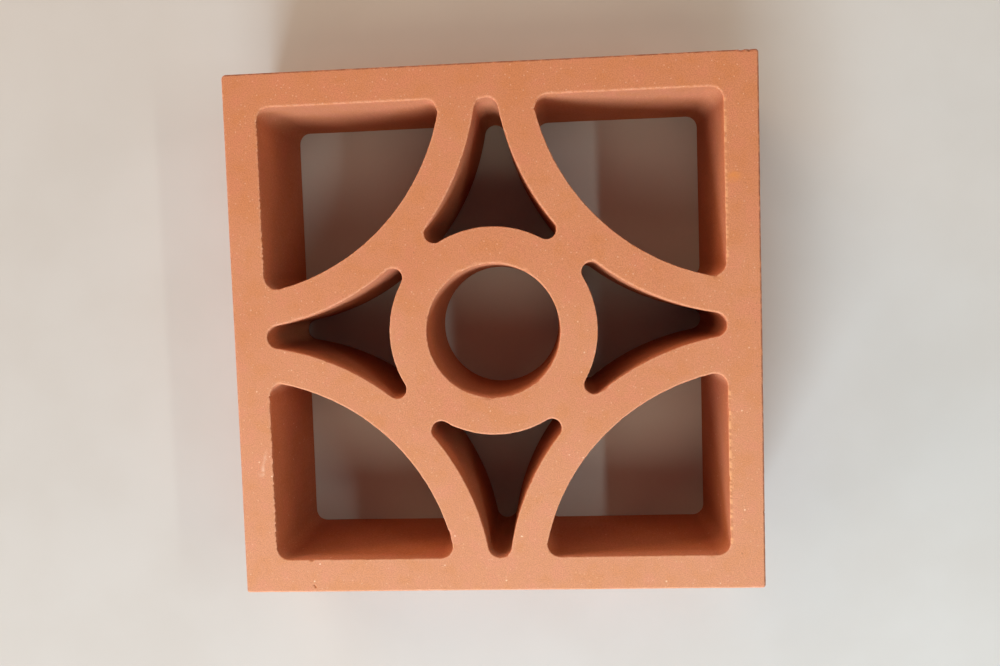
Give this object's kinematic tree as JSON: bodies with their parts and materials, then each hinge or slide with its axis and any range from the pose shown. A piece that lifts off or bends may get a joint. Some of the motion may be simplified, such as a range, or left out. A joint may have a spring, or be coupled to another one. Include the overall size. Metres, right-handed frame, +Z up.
{
  "type": "clay screen block",
  "caption": "Square fired-clay screen block with quarter-round corner openings, curved arches, pointed darts and a centre ring, built into walls to let air and light through.",
  "frame": {"origin": "centre of the back face, which it lies on", "axes": "+Z up along the openings, out of the front face; +X and +Y along the sides, to the right and to the top of the picture"},
  "size_m": [0.2, 0.2, 0.055],
  "materials": {
    "fired_clay": "matte, unglazed"
  },
  "bodies": {
    "root": {"screen_block": "fired_clay"}
  },
  "joints": []
}
